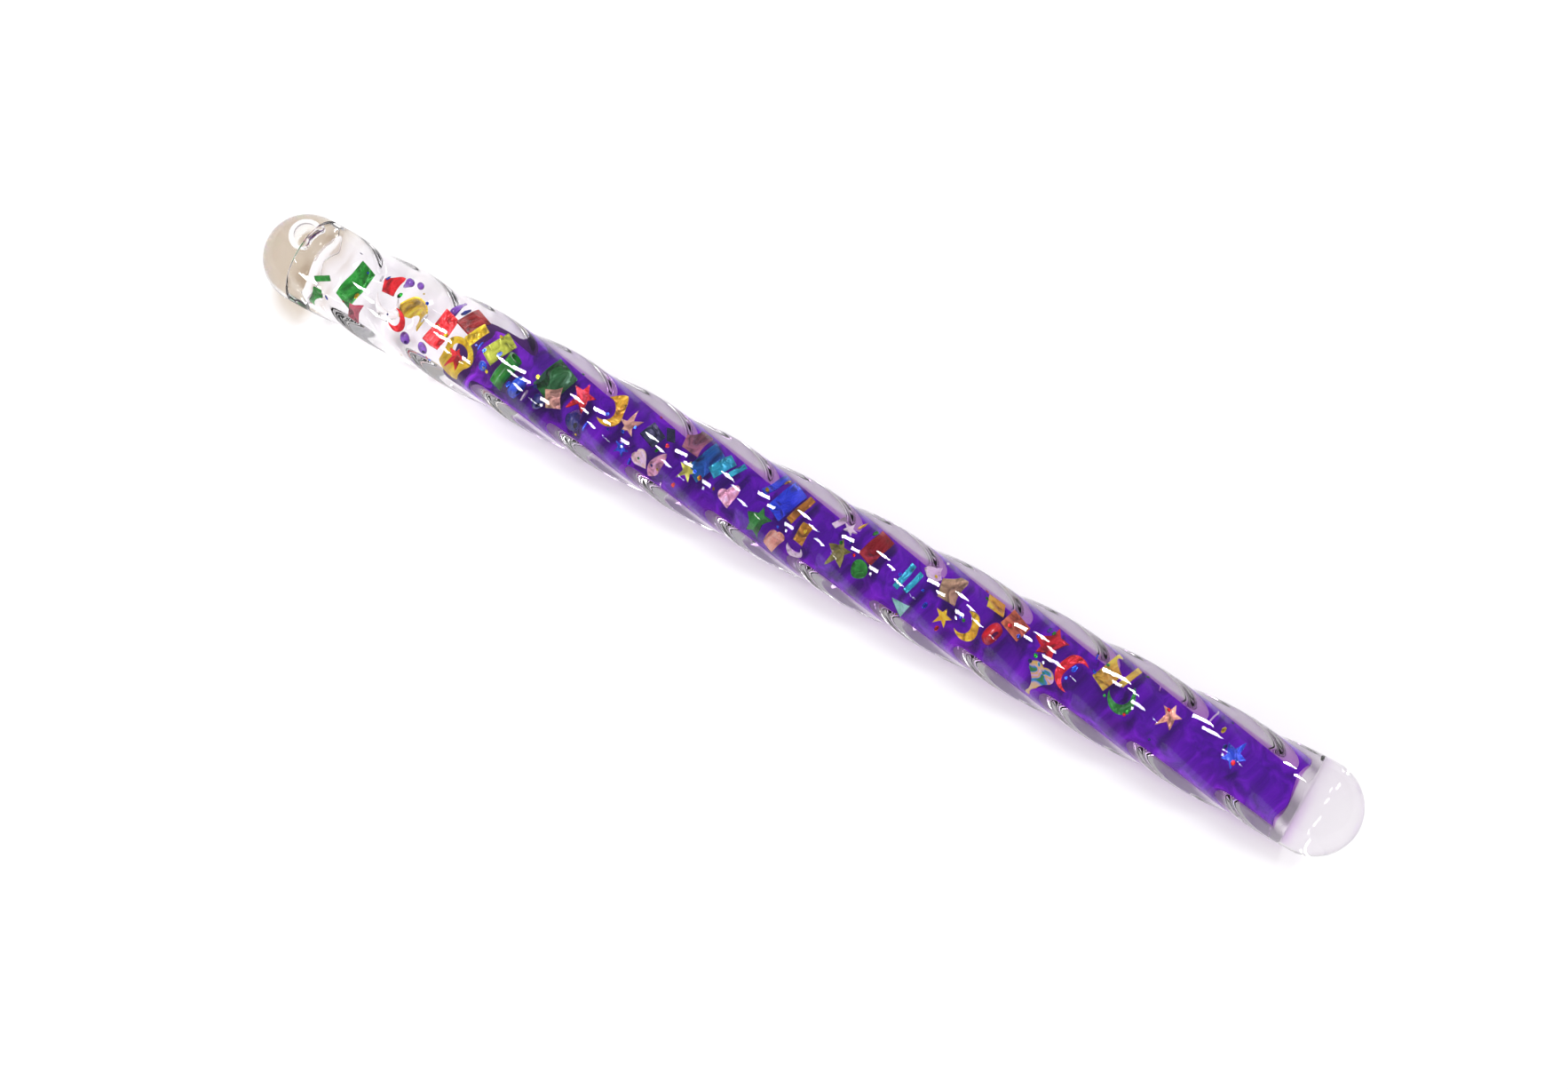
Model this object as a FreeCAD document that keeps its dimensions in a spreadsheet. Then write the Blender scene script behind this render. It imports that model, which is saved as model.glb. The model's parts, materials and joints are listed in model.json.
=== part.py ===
import FreeCAD, Part
import math
import os

import Sketcher

# A clear spiral wand, sealed at both ends and filled with clear oil and dyed oil, in which foil
# confetti drifts.
# +X runs along the wand from the tip (with its trapped bubble) to the plug, +Z is up.
# The origin is on the wand's axis, half way along it.

doc = FreeCAD.newDocument("glitter_wand")
sheet = doc.addObject("Spreadsheet::Sheet", "Sizes")

SIZES = {
    "wand_length": 165.1,
    "wand_radius": 6.2,
    "lobe_total": 6,
    "lobe_pitch": 12.35,
    "lobe_angle": 21.0,
    "flute_depth": 0.47,
    "bore_radius": 3.4,
    "tip_band": 0.8,
    "tip_spigot": 1.9,
    "plug_band": 1.6,
    "plug_spigot": 1.25,
    "spigot_clearance": 0.02,
    "bubble_radius": 1.7,
    "bubble_inset": 5.0,
    "bubble_offset": 1.6,
    "oil_front": -52.0,
    "oil_slant": 24.0,
    "oil_film": 0.03,
    "fan_angle": 21.8,
    "foil": 0.2,
    "wall_gap": 0.12,
    "square_side": 3.3,
    "slab_long": 3.7,
    "slab_wide": 2.3,
    "bar_long": 3.6,
    "bar_wide": 1.0,
    "star_tip": 1.7,
    "star_waist": 0.74,
    "moon_radius": 1.8,
    "moon_bite": 1.5,
    "moon_shift": 0.85,
    "heart_lobe": 0.8,
    "leaf_radius": 2.5,
    "leaf_shift": 1.5,
    "disc_radius": 1.3,
    "ring_hole": 0.75,
    "bead_radius": 1.15,
    "bead_hole": 0.42,
    "tube_radius": 1.15,
    "tube_bore": 0.8,
    "tube_long": 3.4,
    "band_radius": 1.9,
    "band_wide": 2.3,
    "band_arc": 120.0,
    "fleck_radius": 0.4,
}

row = 1
for name, value in SIZES.items():
    sheet.set(f"A{row}", name)
    sheet.set(f"B{row}", str(value))
    sheet.setAlias(f"B{row}", name)
    row += 1
doc.recompute()


def size(name):
    return float(sheet.get(name))


HALF_LENGTH = size("wand_length") / 2
TUBE_START = -HALF_LENGTH + size("wand_radius") + size("tip_band")
TUBE_END = HALF_LENGTH - size("wand_radius") - size("plug_band")
BORE_START = TUBE_START + size("tip_spigot")
BORE_END = TUBE_END - size("plug_spigot")
X_AXIS = FreeCAD.Vector(1, 0, 0)
Y_AXIS = FreeCAD.Vector(0, 1, 0)
Z_AXIS = FreeCAD.Vector(0, 0, 1)
ORIGIN = FreeCAD.Vector(0, 0, 0)
ALONG_X = FreeCAD.Rotation(Y_AXIS, 90)

nodes = {}


def keep(obj, label):
    """Give a finished sub-part its name and list it for export."""
    obj.Label = label
    nodes[label] = obj
    return obj


def primitive(kind, label, **expressions):
    """Add a Part primitive whose sizes follow the sheet."""
    obj = doc.addObject(kind, label)
    for prop, expression in expressions.items():
        obj.setExpression(prop, expression)
    return obj


def pair(kind, label, base, tool):
    """Cut, fuse or intersect two objects."""
    obj = doc.addObject(kind, label)
    if kind == "Part::MultiFuse":
        obj.Shapes = [base, tool]
    else:
        obj.Base = base
        obj.Tool = tool
    return obj


def new_body(label):
    return doc.addObject("PartDesign::Body", label)


def plane_sketch(body, role, label):
    """A sketch lying on one of the body's own origin planes."""
    sketch = body.newObject("Sketcher::SketchObject", label)
    plane = [f for f in body.Origin.OriginFeatures if f.Role == role][0]
    sketch.AttachmentSupport = [(plane, "")]
    sketch.MapMode = "FlatFace"
    return sketch


# ---- the spiral tube ----

def lobed_wire(start_angle):
    """Hexagon with round corners, across the wand at the tube's start."""
    lobes = int(size("lobe_total"))
    half_step = math.pi / lobes
    centre_radius = size("flute_depth") / (1 - math.cos(half_step))
    corner_radius = size("wand_radius") - centre_radius

    def on_lobe(angle, offset):
        y = centre_radius * math.cos(angle) + corner_radius * math.cos(angle + offset)
        z = centre_radius * math.sin(angle) + corner_radius * math.sin(angle + offset)
        return FreeCAD.Vector(TUBE_START, y, z)

    edges = []
    for lobe in range(lobes):
        angle = start_angle + lobe * 2 * half_step
        first = on_lobe(angle, -half_step)
        last = on_lobe(angle, half_step)
        following = on_lobe(angle + 2 * half_step, -half_step)
        edges.append(Part.Arc(first, on_lobe(angle, 0), last).toShape())
        edges.append(Part.LineSegment(last, following).toShape())
    return Part.Wire(edges)


def twisted_bar():
    """The lobed outline swept along the wand while it turns with a right-hand lead."""
    lead = size("lobe_pitch") * size("lobe_total")
    start_angle = math.radians(size("lobe_angle") + 360 * TUBE_START / lead)
    length = TUBE_END - TUBE_START
    spine = Part.Wire(Part.makeLine(FreeCAD.Vector(TUBE_START, 0, 0), FreeCAD.Vector(TUBE_END, 0, 0)))
    guide = Part.makeLongHelix(lead, length, size("wand_radius"))
    guide.Placement = FreeCAD.Placement(FreeCAD.Vector(TUBE_START, 0, 0), ALONG_X)
    sweep = Part.BRepOffsetAPI.MakePipeShell(spine)
    sweep.setAuxiliarySpine(Part.Wire(guide.Edges), True, 0)
    sweep.add(lobed_wire(start_angle))
    sweep.build()
    sweep.makeSolid()
    return sweep.shape()


outer = doc.addObject("Part::Feature", "twisted_bar")
outer.Shape = twisted_bar()
bore = primitive("Part::Cylinder", "bore", Radius="Sizes.bore_radius")
bore.Height = TUBE_END - TUBE_START + 2
bore.Placement = FreeCAD.Placement(FreeCAD.Vector(TUBE_START - 1, 0, 0), ALONG_X)
keep(pair("Part::Cut", "spiral_tube", outer, bore), "spiral_tube")


# ---- the two end caps, cemented into the bore ----

def cap_body(label, band, spigot):
    """Dome, round band and spigot in one turning about X; the tube's end face is at x = 0."""
    body = new_body(label)
    sketch = plane_sketch(body, "XZ_Plane", label + "_profile")
    radius = size("wand_radius")
    inner = size("bore_radius") - size("spigot_clearance")
    points = [(-spigot, 0), (-spigot, inner), (0, inner), (0, radius), (band, radius)]
    crown = (band + radius, 0)
    for start, end in zip(points, points[1:]):
        sketch.addGeometry(Part.LineSegment(FreeCAD.Vector(*start, 0), FreeCAD.Vector(*end, 0)), False)
    circle = Part.Circle(FreeCAD.Vector(band, 0, 0), Z_AXIS, radius)
    sketch.addGeometry(Part.ArcOfCircle(circle, 0, math.pi / 2), False)
    sketch.addGeometry(Part.LineSegment(FreeCAD.Vector(*crown, 0), FreeCAD.Vector(-spigot, 0, 0)), False)
    for line in range(3):
        sketch.addConstraint(Sketcher.Constraint("Coincident", line, 2, line + 1, 1))
    sketch.addConstraint(Sketcher.Constraint("Tangent", 3, 2, 4, 2))
    sketch.addConstraint(Sketcher.Constraint("Coincident", 4, 1, 5, 1))
    sketch.addConstraint(Sketcher.Constraint("Coincident", 5, 2, 0, 1))
    for line in (0, 2):
        sketch.addConstraint(Sketcher.Constraint("Vertical", line))
    for line in (1, 3):
        sketch.addConstraint(Sketcher.Constraint("Horizontal", line))
    sketch.addConstraint(Sketcher.Constraint("PointOnObject", 0, 1, -1))
    sketch.addConstraint(Sketcher.Constraint("PointOnObject", 5, 1, -1))
    sketch.addConstraint(Sketcher.Constraint("PointOnObject", 4, 3, -1))
    sketch.addConstraint(Sketcher.Constraint("PointOnObject", 1, 2, -2))
    driven = {
        "cap_radius": (Sketcher.Constraint("Radius", 4, radius), "Sizes.wand_radius"),
        "spigot_radius": (Sketcher.Constraint("DistanceY", -1, 1, 1, 2, inner),
                          "Sizes.bore_radius - Sizes.spigot_clearance"),
        "spigot_length": (Sketcher.Constraint("DistanceX", 1, 1, 1, 2, spigot),
                          f"Sizes.{label}_spigot"),
        "band_length": (Sketcher.Constraint("DistanceX", 3, 1, 3, 2, band),
                        f"Sizes.{label}_band"),
    }
    for name, (constraint, expression) in driven.items():
        index = sketch.addConstraint(constraint)
        sketch.renameConstraint(index, name)
        sketch.setExpression(f"Constraints.{name}", expression)
    turning = body.newObject("PartDesign::Revolution", label + "_turning")
    turning.Profile = sketch
    turning.ReferenceAxis = (sketch, ["H_Axis"])
    turning.Angle = 360
    body.Tip = turning
    return body


tip_solid = cap_body("tip", size("tip_band"), size("tip_spigot"))
tip_solid.Placement = FreeCAD.Placement(FreeCAD.Vector(TUBE_START, 0, 0), FreeCAD.Rotation(Z_AXIS, 180))
bubble = primitive("Part::Sphere", "bubble", Radius="Sizes.bubble_radius")
bubble.Placement.Base = FreeCAD.Vector(
    -HALF_LENGTH + size("bubble_inset"), size("bubble_offset"), size("bubble_offset") / 2)
keep(pair("Part::Cut", "tip_cap", tip_solid, bubble), "tip_cap")
plug_solid = cap_body("plug", size("plug_band"), size("plug_spigot"))
plug_solid.Placement = FreeCAD.Placement(FreeCAD.Vector(TUBE_END, 0, 0), FreeCAD.Rotation())
keep(plug_solid, "plug_cap")


# ---- confetti shapes, each flat in its own XY plane and centred on its own origin ----

def box_shape(label, length, width, grow):
    box = primitive("Part::Box", label, Length=f"Sizes.{length} * {grow}",
                    Width=f"Sizes.{width} * {grow}", Height="Sizes.foil")
    middle = FreeCAD.Vector(-size(length) * grow / 2, -size(width) * grow / 2, -size("foil") / 2)
    return box, middle


def square(label, grow):
    return box_shape(label, "square_side", "square_side", grow)


def slab(label, grow):
    return box_shape(label, "slab_wide", "slab_long", grow)


def bar(label, grow):
    return box_shape(label, "bar_wide", "bar_long", grow)


def half_foil():
    return FreeCAD.Vector(0, 0, -size("foil") / 2)


def polygon_prism(label, sides, grow, radius="disc_radius"):
    prism = primitive("Part::Prism", label, Circumradius=f"Sizes.{radius} * {grow}",
                      Height="Sizes.foil")
    prism.Polygon = sides
    return prism, half_foil()


def triangle(label, grow):
    return polygon_prism(label, 3, grow * 1.2)


def hexagon(label, grow):
    return polygon_prism(label, 6, grow * 1.1)


def fleck(label, grow):
    return polygon_prism(label, 6, grow, "fleck_radius")


def disc(label, grow):
    return primitive("Part::Cylinder", label, Radius=f"Sizes.disc_radius * {grow}",
                     Height="Sizes.foil"), half_foil()


def drilled(label, outer_name, inner_name, grow, height):
    outside = primitive("Part::Cylinder", label + "_outside", Radius=f"Sizes.{outer_name} * {grow}",
                        Height=height)
    inside = primitive("Part::Cylinder", label + "_inside", Radius=f"Sizes.{inner_name} * {grow}",
                       Height=height)
    return pair("Part::Cut", label, outside, inside)


def ring(label, grow):
    return drilled(label, "disc_radius", "ring_hole", grow, "Sizes.foil"), half_foil()


def tube_bead(label, grow):
    bead = drilled(label, "tube_radius", "tube_bore", grow, "Sizes.tube_long")
    return bead, FreeCAD.Vector(0, 0, -size("tube_long") / 2)


def bead(label, grow):
    ball = primitive("Part::Sphere", label + "_ball", Radius=f"Sizes.bead_radius * {grow}")
    hole = primitive("Part::Cylinder", label + "_hole", Radius=f"Sizes.bead_hole * {grow}")
    hole.Height = 4
    hole.Placement.Base = FreeCAD.Vector(0, 0, -2)
    return pair("Part::Cut", label, ball, hole), ORIGIN


def moon(label, grow):
    face = primitive("Part::Cylinder", label + "_face", Radius=f"Sizes.moon_radius * {grow}",
                     Height="Sizes.foil")
    bite = primitive("Part::Cylinder", label + "_bite", Radius=f"Sizes.moon_bite * {grow}",
                     Height="Sizes.foil")
    bite.Placement.Base = FreeCAD.Vector(size("moon_shift") * grow, 0, 0)
    middle = FreeCAD.Vector(size("moon_shift") * grow / 2, 0, -size("foil") / 2)
    return pair("Part::Cut", label, face, bite), middle


def leaf(label, grow):
    sides = []
    for side in (-1, 1):
        disc_side = primitive("Part::Cylinder", f"{label}_side{side + 1}",
                              Radius=f"Sizes.leaf_radius * {grow}", Height="Sizes.foil")
        disc_side.Placement.Base = FreeCAD.Vector(side * size("leaf_shift") * grow, 0, 0)
        sides.append(disc_side)
    return pair("Part::Common", label, sides[0], sides[1]), half_foil()


def heart(label, grow):
    lobe = size("heart_lobe") * grow
    block = primitive("Part::Box", label + "_block", Length=f"Sizes.heart_lobe * {2 * grow}",
                      Width=f"Sizes.heart_lobe * {2 * grow}", Height="Sizes.foil")
    halves = [block]
    for x, y in ((lobe, 2 * lobe), (2 * lobe, lobe)):
        half = primitive("Part::Cylinder", f"{label}_lobe{len(halves)}",
                         Radius=f"Sizes.heart_lobe * {grow}", Height="Sizes.foil")
        half.Placement.Base = FreeCAD.Vector(x, y, 0)
        halves.append(half)
    whole = doc.addObject("Part::MultiFuse", label)
    whole.Shapes = halves
    return whole, FreeCAD.Vector(-1.3 * lobe, -1.3 * lobe, -size("foil") / 2)


def band(label, grow):
    outside = primitive("Part::Cylinder", label + "_outside", Radius=f"Sizes.band_radius * {grow}",
                        Height="Sizes.band_wide", Angle="Sizes.band_arc")
    inside = primitive("Part::Cylinder", label + "_inside",
                       Radius=f"Sizes.band_radius * {grow} - Sizes.foil", Height="Sizes.band_wide")
    middle = math.radians(size("band_arc") / 2)
    centre = FreeCAD.Vector(-0.8 * size("band_radius") * grow * math.cos(middle),
                            -0.8 * size("band_radius") * grow * math.sin(middle),
                            -size("band_wide") / 2)
    return pair("Part::Cut", label, outside, inside), centre


def star(label, grow):
    """One kite-shaped arm, padded and patterned five times round the middle."""
    body = new_body(label + "_body")
    sketch = plane_sketch(body, "XY_Plane", label + "_arm")
    tip = size("star_tip") * grow
    waist = size("star_waist") * grow
    side = math.radians(36)
    corners = [(0, 0), (waist * math.cos(side), -waist * math.sin(side)), (tip, 0),
               (waist * math.cos(side), waist * math.sin(side))]
    for start, end in zip(corners, corners[1:] + corners[:1]):
        sketch.addGeometry(Part.LineSegment(FreeCAD.Vector(*start, 0), FreeCAD.Vector(*end, 0)), False)
    for line in range(4):
        sketch.addConstraint(Sketcher.Constraint("Coincident", line, 2, (line + 1) % 4, 1))
    sketch.addConstraint(Sketcher.Constraint("Coincident", 0, 1, -1, 1))
    sketch.addConstraint(Sketcher.Constraint("PointOnObject", 1, 2, -1))
    sketch.addConstraint(Sketcher.Constraint("Symmetric", 0, 2, 2, 2, -1))
    sketch.addConstraint(Sketcher.Constraint("Angle", 0, 1, 3, 2, 2 * side))
    for name, constraint, expression in (
            ("arm", Sketcher.Constraint("DistanceX", -1, 1, 1, 2, tip), f"Sizes.star_tip * {grow}"),
            ("waist", Sketcher.Constraint("Distance", 0, waist), f"Sizes.star_waist * {grow}")):
        index = sketch.addConstraint(constraint)
        sketch.renameConstraint(index, name)
        sketch.setExpression(f"Constraints.{name}", expression)
    pad = body.newObject("PartDesign::Pad", label + "_pad")
    pad.Profile = sketch
    pad.setExpression("Length", "Sizes.foil")
    arms = body.newObject("PartDesign::PolarPattern", label + "_arms")
    arms.Originals = [pad]
    arms.Axis = (sketch, ["N_Axis"])
    arms.Angle = 360
    arms.Occurrences = 5
    body.Tip = arms
    return body, half_foil()


# ---- where the confetti lies ----
# Each cell is a short length of the bore whose confetti turns together about the wand's axis.
# A piece is (shape, size factor, x along the wand, around, turn, lean, sink): around is its angle
# about the wand's axis from the spread line, turn is its angle in its own plane, lean is its tilt
# about its own upright, and sink is how much deeper it lies than the bore's wall lets it.

CELLS = {
    "01": {
        "green_slabs": [(slab, 1.2, -67.3, 10, -12, 20, 0.3), (bar, 0.75, -71.6, -24, -60, 20, 0),
                        (square, 0.4, -71.9, -68, 10, 0, 0)],
        "maroon_slab": [(slab, 0.8, -65.7, -66, -10, 10, 0)],
    },
    "02": {
        "white_moon": [(moon, 1.15, -61.7, -30, 105, 5, 0.9)],
        "red_pieces": [(moon, 0.85, -59.1, -30, 165, 5, 0), (square, 0.6, -62.4, 40, 20, 10, 0)],
        "violet_beads": [(bead, 0.6, -61.0, 70, 0, 60, 0), (bead, 0.7, -57.8, -78, 30, 40, 0),
                         (bead, 0.5, -59.6, 92, 0, 50, 0)],
        "gold_band": [(band, 1.1, -58.0, 34, 30, 0, 0.2)],
    },
    "03": {
        "red_slab": [(slab, 1.1, -53.1, 12, -10, 8, 0)],
        "gold_ring": [(ring, 1.7, -49.6, -40, 0, 8, 0.3), (slab, 0.6, -48.4, 30, -25, 15, 0)],
        "red_star": [(star, 0.8, -49.6, -40, 10, 0, 0)],
        "dark_red_square": [(square, 0.88, -50.05, 67, -12, 8, 0)],
        "violet_beads": [(bead, 0.7, -54.6, -62, 0, 30, 0), (bead, 0.5, -53.0, 74, 0, 70, 0)],
    },
    "04": {
        "lime_slab": [(slab, 1.0, -44.7, 42, -20, 15, 0)],
        "blue_beads": [(bead, 0.6, -45.4, -22, 0, 30, 0), (bead, 0.8, -40.0, -34, 0, 50, 0)],
        "green_tube": [(tube_bead, 0.95, -42.5, -14, 75, 90, 0)],
    },
    "05": {
        "green_square": [(square, 1.15, -35.9, 30, -14, 10, 0.2)],
        "tan_square": [(square, 0.7, -34.6, -12, 25, 12, 0)],
        "red_star": [(star, 1.1, -31.3, 21, 20, 5, 0)],
        "navy_beads": [(bead, 0.8, -36.6, -46, 0, 20, 0), (bead, 1.05, -30.9, -44, 20, 45, 0)],
    },
    "06": {
        "gold_moon": [(moon, 1.15, -26.5, 28, 175, 5, 0)],
        "tan_star": [(star, 0.85, -23.6, 22, 30, 10, 0)],
        "blue_star": [(star, 0.65, -23.4, -42, 5, 0, 0)],
    },
    "07": {
        "cream_heart": [(heart, 1.0, -20.4, -40, 100, 5, 0)],
        "pink_leaf": [(leaf, 0.9, -18.0, -38, -22, 6, 0)],
        "black_slabs": [(slab, 0.7, -20.2, 22, 70, 8, 0), (slab, 0.55, -18.2, 42, 30, 10, 0)],
    },
    "08": {
        "mauve_square": [(square, 0.8, -14.9, 60, 8, 6, 0)],
        "teal_slabs": [(slab, 1.0, -12.7, 40, -18, 20, 1.1), (slab, 0.7, -10.0, 38, -30, 10, 0),
                       (bar, 0.7, -8.0, 44, -24, 10, 0)],
        "lime_star": [(star, 0.8, -13.9, -14, 15, 0, 0)],
        "pink_heart": [(heart, 0.95, -7.4, -16, 70, 10, 0)],
    },
    "09": {
        "blue_bars": [(slab, 1.1, -0.5, 42, -16, 15, 0), (bar, 0.9, -2.9, 60, -20, 10, 0)],
        "bronze_bars": [(bar, 1.0, 1.9, 38, -14, 10, 0), (slab, 0.65, 3.8, -10, -8, 10, 0)],
        "green_star": [(star, 1.0, -2.4, -36, 18, 0, 0)],
        "peach_heart": [(heart, 0.85, 0.6, -56, 60, 0, 0)],
        "white_moon": [(moon, 0.7, 3.5, -66, 100, 0, 0)],
    },
    "10": {
        "white_bars": [(bar, 0.8, 7.2, 62, -18, 10, 0), (star, 0.65, 8.9, 56, 10, 5, 0)],
        "olive_star": [(star, 1.0, 9.0, -12, 25, 0, 0)],
        "dark_red_slab": [(slab, 1.0, 12.9, 46, -12, 10, 0)],
        "green_oval": [(disc, 0.9, 12.4, -22, 0, 5, 0)],
    },
    "11": {
        "teal_bars": [(bar, 0.8, 18.1, 17, -10, 10, 0), (bar, 0.7, 19.5, 12, -16, 10, 0)],
        "white_hexagon": [(hexagon, 1.0, 21.1, 64, 10, 8, 0)],
        "khaki_square": [(square, 0.82, 24.1, 40, 10, 8, 0)],
        "mint_triangle": [(triangle, 1.0, 19.4, -52, 40, 0, 0)],
        "gold_star": [(star, 0.75, 24.8, -27, 12, 0, 0)],
    },
    "12": {
        "gold_moon": [(moon, 1.0, 28.5, -20, 160, 0, 0)],
        "red_bead": [(bead, 0.85, 31.4, -6, 0, 30, 0)],
        "gold_square": [(square, 0.8, 30.0, 66, 12, 8, 0)],
        "terracotta_square": [(square, 0.95, 33.5, 46, -15, 8, 0)],
    },
    "13": {
        "red_star": [(star, 1.2, 38.5, 44, 22, 5, 0)],
        "red_moon": [(moon, 1.05, 42.2, 4, -20, 6, 0)],
        "rainbow_heart": [(heart, 1.4, 39.1, -46, 40, 0, 0)],
    },
    "14": {
        "yellow_bar": [(slab, 1.0, 46.6, 46, -20, 12, 0), (bar, 0.8, 49.2, 62, -16, 8, 0)],
        "green_moon": [(moon, 1.05, 49.8, -2, 120, 0, 0)],
    },
    "15": {
        "peach_star": [(star, 0.9, 55.8, 19, 15, 0, 0)],
        "blue_star": [(star, 0.9, 65.0, 15, 0, 0, 0)],
    },
}

# Loose glitter between the cells, carried along the wand with them: x of each fleck's plane.
SILVER_FLECKS = (-64.13, -55.95, -38.6, -16.7, 5.6, 35.9, 52.9, 60.5)
FLECK_DISTANCE = 2.7
BLUE_FLECKS = (-46.93, -28.9, -22.0, -5.2, 15.8, 26.35, 44.4)
FLECK_STEP = 47


# Half of each shape's width round the bore and half its length along it, at a size factor of 1.
HALF_EXTENTS = {
    square: (size("square_side") * 0.62, size("square_side") * 0.55),
    slab: (size("slab_long") * 0.55, size("slab_wide") * 0.6),
    bar: (size("bar_long") * 0.51, size("bar_wide")),
    moon: (size("moon_radius"), size("moon_radius")),
    bead: (size("bead_radius"), 0),
    band: (size("band_radius") * 0.85, 0),
    ring: (size("disc_radius"), size("disc_radius")),
    star: (size("star_tip"), size("star_tip")),
    tube_bead: (size("tube_long") * 0.46, 0),
    heart: (size("heart_lobe") * 2.1, size("heart_lobe") * 1.5),
    leaf: (size("leaf_radius") * 0.8, size("leaf_radius") * 0.4),
    disc: (size("disc_radius"), size("disc_radius")),
    hexagon: (size("disc_radius") * 1.1, size("disc_radius")),
    triangle: (size("disc_radius") * 1.2, size("disc_radius")),
}
THICK_SHAPES = (bead, tube_bead, band)


def distance_out(shape, grow, lean):
    """How far from the axis a piece's middle can be with its corners clear of the wall."""
    limit = size("bore_radius") - size("wall_gap")
    around, along = HALF_EXTENTS[shape]
    if shape in THICK_SHAPES:
        return limit - around * grow
    limit -= size("foil") / 2
    return math.sqrt(limit ** 2 - (around * grow) ** 2) - along * grow * math.sin(math.radians(lean))


def lay(made, distance, x, around, turn, lean):
    """Put a shape at its place against the bore's wall, facing outwards."""
    shape, middle = made
    upright = FreeCAD.Placement(ORIGIN, FreeCAD.Rotation(X_AXIS, size("fan_angle") - around))
    spot = FreeCAD.Placement(FreeCAD.Vector(x, 0, distance), FreeCAD.Rotation(Z_AXIS, turn))
    tilt = FreeCAD.Placement(ORIGIN, FreeCAD.Rotation(Y_AXIS, lean))
    centring = FreeCAD.Placement(middle, FreeCAD.Rotation())
    shape.Placement = upright * spot * tilt * centring
    return shape


def group(label, members):
    """One named node: a single piece, or several pieces of one kind of foil."""
    if len(members) == 1:
        return keep(members[0], label)
    bundle = doc.addObject("Part::Compound", label)
    bundle.Links = members
    return keep(bundle, label)


confetti = []
for cell, kinds in CELLS.items():
    for kind, pieces in kinds.items():
        label = f"{kind}_{cell}"
        members = []
        for number, (shape, grow, x, around, turn, lean, sink) in enumerate(pieces):
            made = shape(f"{label}_{number}", grow)
            distance = distance_out(shape, grow, lean) - sink
            members.append(lay(made, distance, x, around, turn, lean))
        confetti.append(group(label, members))


def glitter(label, planes, first_angle):
    """Hexagonal flecks standing across the bore, fanned round the wand's axis."""
    members = []
    for number, x in enumerate(planes):
        angle = math.radians(first_angle + FLECK_STEP * number)
        made, middle = fleck(f"{label}_{number}", 1.0)
        rise = FreeCAD.Vector(x, FLECK_DISTANCE * math.cos(angle), FLECK_DISTANCE * math.sin(angle))
        centring = FreeCAD.Placement(middle, FreeCAD.Rotation())
        made.Placement = FreeCAD.Placement(rise, ALONG_X) * centring
        members.append(made)
    confetti.append(group(label, members))


glitter("silver_glitter", SILVER_FLECKS, 60)
glitter("blue_glitter", BLUE_FLECKS, 95)


# ---- the two liquids: dyed oil fills the plug end up to a slanting front, and clear oil fills the
# rest of the bore; the confetti's room is left out of both ----

column = primitive("Part::Cylinder", "oil_column", Radius="Sizes.bore_radius - Sizes.oil_film")
column.Height = BORE_END - BORE_START - 2 * size("oil_film")
column.Placement = FreeCAD.Placement(FreeCAD.Vector(BORE_START + size("oil_film"), 0, 0), ALONG_X)


def room_past_front(label, lift):
    """Everything on the tip's side of the dyed oil's front, lifted off it by a gap."""
    box = primitive("Part::Box", label, Length="Sizes.wand_length * 2",
                    Width="Sizes.wand_radius * 4", Height="Sizes.wand_length")
    front = FreeCAD.Placement(FreeCAD.Vector(size("oil_front"), 0, -size("bore_radius")),
                              FreeCAD.Rotation(Y_AXIS, -size("oil_slant")))
    corner = FreeCAD.Vector(-size("wand_length"), -size("wand_radius") * 2, lift)
    box.Placement = front * FreeCAD.Placement(corner, FreeCAD.Rotation())
    return box


room = doc.addObject("Part::Compound", "confetti_room")
room.Links = confetti
dyed_side = pair("Part::Cut", "dyed_side", column, room_past_front("past_front", 0))
clear_side = pair("Part::Common", "clear_side", column,
                  room_past_front("past_film", size("oil_film")))
keep(pair("Part::Cut", "dyed_oil", dyed_side, room), "dyed_oil")
keep(pair("Part::Cut", "clear_oil", clear_side, room), "clear_oil")

doc.recompute()

for obj in doc.Objects:
    if "Invalid" in obj.State or "Error" in obj.State:
        raise RuntimeError(f"{obj.Label} did not recompute: {obj.State}")
for label, obj in nodes.items():
    if obj.Shape.isNull() or not obj.Shape.isValid():
        raise RuntimeError(f"{label} has no valid shape")
    if not obj.Shape.Solids:
        raise RuntimeError(f"{label} has no solid")

os.makedirs("parts", exist_ok=True)
for label, obj in nodes.items():
    obj.Shape.exportStep(f"parts/{label}.step")
print(len(nodes), "nodes,", sum(len(obj.Shape.Solids) for obj in nodes.values()), "solids")
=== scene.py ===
import json
import math
import random

import bmesh
import bpy
from mathutils import Matrix, Vector


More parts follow.
